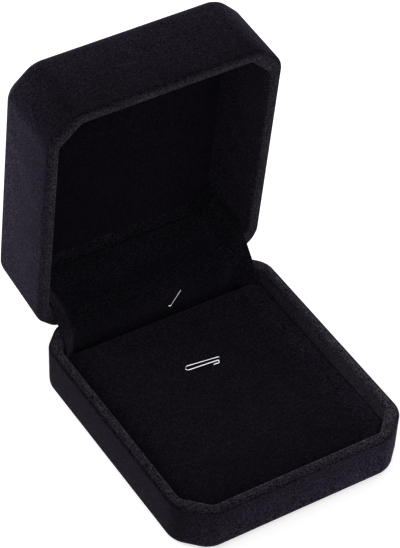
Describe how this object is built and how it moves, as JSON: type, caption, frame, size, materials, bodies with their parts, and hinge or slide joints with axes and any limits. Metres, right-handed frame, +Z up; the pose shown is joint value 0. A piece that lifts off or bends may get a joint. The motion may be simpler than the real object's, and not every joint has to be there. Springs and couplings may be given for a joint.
{
  "type": "hinged velvet jewelry box",
  "caption": "Small hinged velvet-covered pendant box with clipped corners, a deep lid, a lift-out pad with a wire pendant clip, and a wire chain hook.",
  "frame": {"origin": "Centre of the base's underside, where the box rests.", "axes": "+Z up, +Y towards the hinge at the back, -Y towards the front, +X to the right."},
  "size_m": [0.08, 0.1166, 0.1081],
  "materials": {
    "velvet": "black pile velvet with a faint violet tint",
    "velvet_lining": "black pile velvet with a faint violet tint",
    "bottom_paper": "card with matt black grained paper",
    "moulding": "black moulded plastic",
    "greyboard": "grey card",
    "foam": "soft open-cell foam",
    "hinge_steel": "nickel-plated pressed steel",
    "wire": "bright plated wire"
  },
  "bodies": {
    "base": {"base_bottom_sheet": "bottom_paper", "base_cover": "velvet", "base_shell": "moulding", "base_lining_card": "greyboard", "base_lining": "velvet_lining", "hinge_cover": "velvet_lining", "chain_hook": "wire", "hinge_base_leaf": "hinge_steel", "hinge_pin": "hinge_steel", "hinge_spring": "hinge_steel", "hinge_base_rivets": "hinge_steel"},
    "lid": {"lid_cover": "velvet", "lid_shell": "moulding", "lid_lining_card": "greyboard", "lid_lining": "velvet_lining", "lid_panel_card": "greyboard", "lid_panel_velvet": "velvet_lining", "hinge_lid_leaf": "hinge_steel", "hinge_lid_rivets": "hinge_steel"},
    "insert": {"pad_platform": "greyboard", "pad_foam": "foam", "pad_cover": "velvet_lining", "pendant_clip": "wire"}
  },
  "joints": [
    {"name": "lid_hinge", "type": "hinge", "parent": "base", "child": "lid", "pos_m": [0, 0.0443, 0.0169], "axis": [1, 0, 0], "range_deg": [0, 84.6], "deforming": ["hinge_spring", "hinge_cover"]},
    {"name": "insert_lift", "type": "slide", "parent": "base", "child": "insert", "axis": [0, 0, 1], "range_m": [0, 0.015]}
  ]
}
